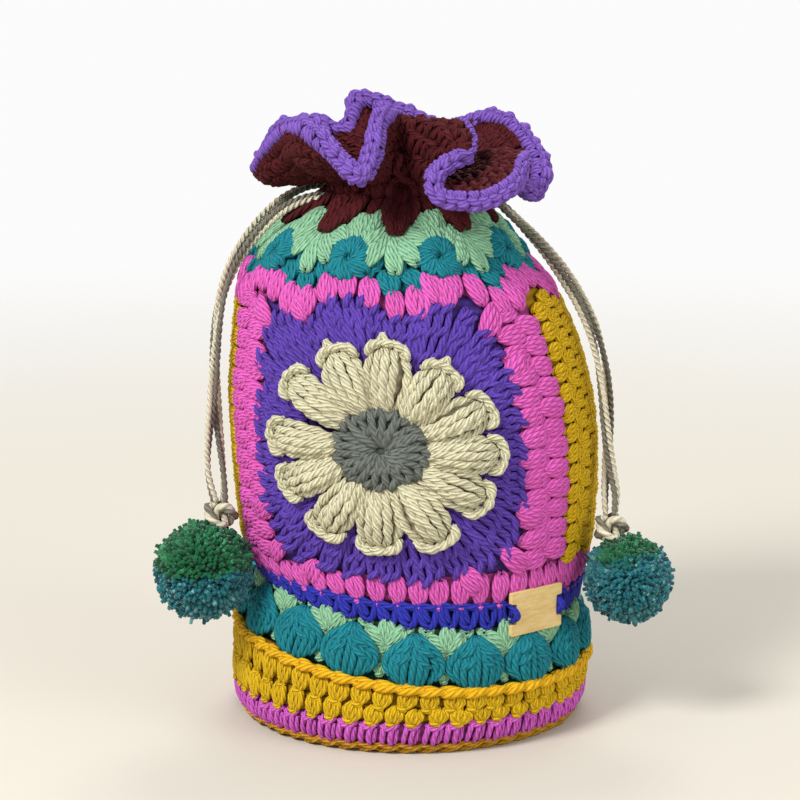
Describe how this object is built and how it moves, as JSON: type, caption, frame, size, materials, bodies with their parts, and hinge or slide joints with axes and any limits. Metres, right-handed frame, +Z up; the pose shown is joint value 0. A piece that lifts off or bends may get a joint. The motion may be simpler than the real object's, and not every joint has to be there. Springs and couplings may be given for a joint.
{
  "type": "crochet pouch",
  "caption": "Crocheted drawstring pouch with flower squares, puff stitch rounds, ruffled collar, two pompom cords and a wooden tag.",
  "frame": {"origin": "centre of the base on the surface the pouch stands on", "axes": "+Z up, +X to the pouch's right, its front faces -Y"},
  "size_m": [0.1896, 0.1326, 0.234],
  "materials": {
    "mustard_yarn": "plied worsted yarn, matt",
    "dark_mustard_yarn": "plied worsted yarn, matt",
    "orchid_yarn": "plied worsted yarn, matt",
    "orange_yarn": "plied worsted yarn, matt",
    "teal_yarn": "plied worsted yarn, matt",
    "mint_yarn": "plied worsted yarn, matt",
    "navy_yarn": "plied worsted yarn, matt",
    "hot_pink_yarn": "plied worsted yarn, matt",
    "purple_yarn": "plied worsted yarn, matt",
    "cream_yarn": "plied worsted yarn, matt",
    "grey_yarn": "plied worsted yarn, matt",
    "burgundy_yarn": "plied worsted yarn, matt",
    "violet_yarn": "plied worsted yarn, matt",
    "pompom_yarn": "plied worsted yarn, matt",
    "cord_yarn": "plied worsted yarn, matt",
    "wood": "sanded bare wood"
  },
  "bodies": {
    "root": {"base_disc": "mustard_yarn", "base_edge_round": "dark_mustard_yarn", "base_orchid_round": "orchid_yarn", "base_mustard_round_lower": "mustard_yarn", "base_mustard_round_upper": "mustard_yarn", "orange_ridge_round": "orange_yarn", "teal_puff_round": "teal_yarn", "mint_leaf_round": "mint_yarn", "navy_round": "navy_yarn", "lower_pink_round": "hot_pink_yarn", "front_square_ground": "purple_yarn", "front_border_left": "hot_pink_yarn", "front_border_right": "hot_pink_yarn", "front_flower_centre": "grey_yarn", "front_flower_petals": "cream_yarn", "back_square_ground": "purple_yarn", "back_border_left": "hot_pink_yarn", "back_border_right": "hot_pink_yarn", "back_flower_centre": "grey_yarn", "back_flower_petals": "cream_yarn", "side_strip_right": "mustard_yarn", "side_strip_left": "mustard_yarn", "upper_pink_round": "hot_pink_yarn", "teal_scallop_round": "teal_yarn", "mint_scallop_round": "mint_yarn", "burgundy_collar": "burgundy_yarn", "violet_collar_edging": "violet_yarn", "cord_left_in_neck": "cord_yarn", "cord_right_in_neck": "cord_yarn", "cord_left_front": "cord_yarn", "cord_left_back": "cord_yarn", "cord_right_front": "cord_yarn", "cord_right_back": "cord_yarn", "knot_left": "cord_yarn", "knot_right": "cord_yarn", "pompom_left": "pompom_yarn", "pompom_right": "pompom_yarn", "wood_tag": "wood", "tag_tie_left": "navy_yarn", "tag_tie_right": "navy_yarn"}
  },
  "joints": []
}
